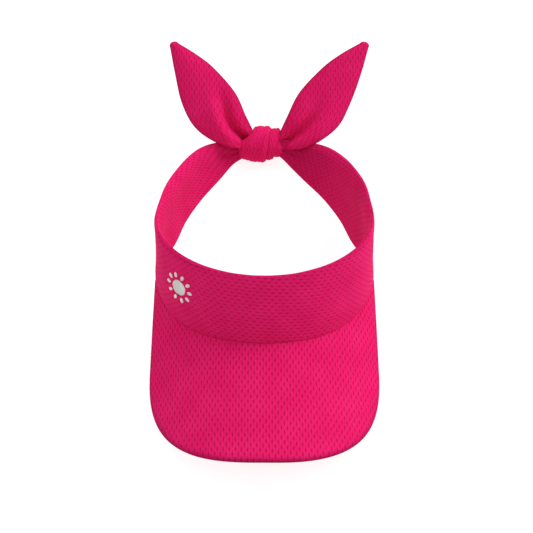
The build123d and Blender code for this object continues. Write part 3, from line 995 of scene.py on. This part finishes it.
def find_emblem():
    """The length along the band and the rise of the CAD emblem's centre."""
    low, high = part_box("emblem_disc")
    spot = (np.array(low) + np.array(high)) / 2
    alongs = np.linspace(length_along[front_step] - 120, 0, 121)
    rises = np.linspace(0.2, 0.8, 61)
    along, rise = (v.ravel() for v in np.meshgrid(alongs, rises))
    nearest = int(np.argmin(np.linalg.norm(world(band_face(along, rise)) - spot, axis=1)))
    return along[nearest], rise[nearest]


emblem_along, emblem_rise = find_emblem()


def stitched_patch(half_across, half_long, centre, turn, seed, columns_per_thread=4):
    """A domed patch of satin stitch, an oval with threads running across it, on the band's face."""
    threads = int(round(2 * half_long / thread_pitch))
    columns = threads * columns_per_thread
    rows = 12
    edge_height, underside = -0.15, -0.35
    end_gap = 0.02              # of a column, which keeps the first and last off the oval's very ends
    raggedness, shortest_reach = 0.16, 0.12
    ragged = np.random.default_rng(seed).uniform(-raggedness, raggedness, threads + 1)
    grid_points, maps = [], []
    for k in range(columns + 1):
        along = -half_long + 2 * half_long * (k + end_gap) / (columns + 2 * end_gap)
        thread = min(threads, k // columns_per_thread)
        reach = half_across * math.sqrt(max(0.0004, 1 - (along / half_long) ** 2)) + ragged[thread]
        reach = max(reach, shortest_reach)
        bead = abs(math.sin(math.pi * k / columns_per_thread))
        line, texture = [], []
        for part in np.linspace(-1, 1, rows):
            across = reach * part
            edge = math.sqrt(max(0.0, 1 - part ** 4)) * math.sqrt(max(0.0, 1 - (along / half_long) ** 6))
            height = edge_height + edge * (stitch_height + thread_bulge * bead)
            px = centre[0] + along * math.cos(turn) - across * math.sin(turn)
            py = centre[1] + along * math.sin(turn) + across * math.cos(turn)
            line.append((px, py, height))
            texture.append((along, across))
        grid_points.append(line)
        maps.append(texture)
    flat = np.array(grid_points)
    tall = float(np.linalg.norm(on_line(high_line, emblem_along) - on_line(low_line, emblem_along)))
    top, under = (
        band_face(emblem_along + flat[..., 0], emblem_rise + flat[..., 1] / tall, -raised)
        for raised in (flat[..., 2], np.full(flat.shape[:2], underside))
    )
    ring_points = np.concatenate([top, under[:, ::-1][:, 1:-1]], axis=1)
    texture = np.array(maps)
    texture = np.concatenate([texture, texture[:, ::-1][:, 1:-1], texture[:, :1]], axis=1)
    return grid(ring_points, texture, closed=True, caps=True)


def emblem_piece(name, patches, node):
    """Patches of stitching in one piece."""
    shape = merge(patches)
    made = dress(piece(name, world(shape[0]), shape[1], shape[2]), white_thread, "visor", "embroidery", node)
    face_out(made)


rays = []
middle_radius = (ray_inner + ray_outer) / 2
for k in range(ray_count):
    turn = 2 * math.pi * k / ray_count
    spot = (middle_radius * math.cos(turn), middle_radius * math.sin(turn))
    rays.append(stitched_patch(ray_width / 2, (ray_outer - ray_inner) / 2, spot, turn, 20 + k))
disc = stitched_patch(disc_radius, disc_radius, (0, 0), math.radians(28), 5)
emblem_piece("emblem_disc_stitching", [disc], "emblem_disc")
emblem_piece("emblem_ray_stitching", rays, "emblem_rays")

# ---------------------------------------------------------------- CAD layers that stay, inside the cloth
for node, material in (("band_interlining", buckram), ("brim_board", board_plastic)):
    for cad_slot in frame["nodes"][node].material_slots:
        cad_slot.material = material

# ---------------------------------------------------------------- camera, light, floor
camera_elevation = math.radians(44.0)       # above the ring's plane
camera_distance = 1000.0
aim_sideways, aim_up = 1.6, 4.5
look_along = np.array([0, math.cos(camera_elevation), -math.sin(camera_elevation)])
look_up = np.array([0, math.sin(camera_elevation), math.cos(camera_elevation)])
aim = aim_sideways * sideways + look_up * aim_up
eye = aim - look_along * camera_distance
camera = bpy.data.objects.new("camera", bpy.data.cameras.new("camera"))
bpy.context.scene.collection.objects.link(camera)
camera.location = Vector(world(eye))
direction = Vector(world(aim)) - camera.location
camera.rotation_euler = direction.to_track_quat("-Z", "Y").to_euler()
camera.data.lens = 83.4
camera.data.sensor_width = 36.0
bpy.context.scene.camera = camera


def floor():
    """A plain pale floor, which gives off a little light of its own and so shows hardly a shadow."""
    n = Nodes("pale_floor")
    shades = colour(146, 146, 145), colour(150, 150, 150)
    n.put(n.shader.inputs["Base Color"], n.mix(n.noise(n.place(), 3), *shades))
    n.shader.inputs["Roughness"].default_value = 0.9
    n.shader.inputs["Emission Color"].default_value = (1, 1, 1, 1)
    n.shader.inputs["Emission Strength"].default_value = 0.82
    bpy.ops.mesh.primitive_plane_add(size=8, location=(0, 0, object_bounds()[0][2]))
    made = bpy.context.object
    made.name = "floor"
    made.data.materials.append(n.material)
    made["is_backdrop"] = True


def soft_light(name, place, power, size, aim_at=(0, 0, 0.03)):
    """A square area light aimed at the visor."""
    lamp = bpy.data.objects.new(name, bpy.data.lights.new(name, "AREA"))
    lamp.data.energy = power
    lamp.data.size = size
    lamp.location = place
    lamp.rotation_euler = (Vector(aim_at) - Vector(place)).to_track_quat("-Z", "Y").to_euler()
    bpy.context.scene.collection.objects.link(lamp)


def studio_world(level, lean, least=0.1):
    """White surroundings of about this brightness, more towards the side that lean points to."""
    made = bpy.data.worlds.new("studio")
    made.use_nodes = True
    nodes, links = made.node_tree.nodes, made.node_tree.links
    facing = nodes.new("ShaderNodeTexCoord")
    towards = nodes.new("ShaderNodeVectorMath")
    towards.operation = "DOT_PRODUCT"
    towards.inputs[1].default_value = lean
    total = nodes.new("ShaderNodeMath")
    total.operation = "ADD"
    total.inputs[1].default_value = level
    links.new(facing.outputs["Generated"], towards.inputs[0])
    links.new(towards.outputs["Value"], total.inputs[0])
    brightness = nodes.new("ShaderNodeMath")
    brightness.operation = "MAXIMUM"
    brightness.inputs[1].default_value = least
    links.new(total.outputs[0], brightness.inputs[0])
    links.new(brightness.outputs[0], nodes["Background"].inputs["Strength"])
    nodes["Background"].inputs["Color"].default_value = (1, 1, 1, 1)
    return made


floor()
soft_light("key", (1.6, 0.95, 1.6), 25, 1.2)
bpy.context.scene.world = studio_world(0.74, (0.2, 0.42, 0.38))
bpy.context.scene.view_settings.view_transform = "Standard"
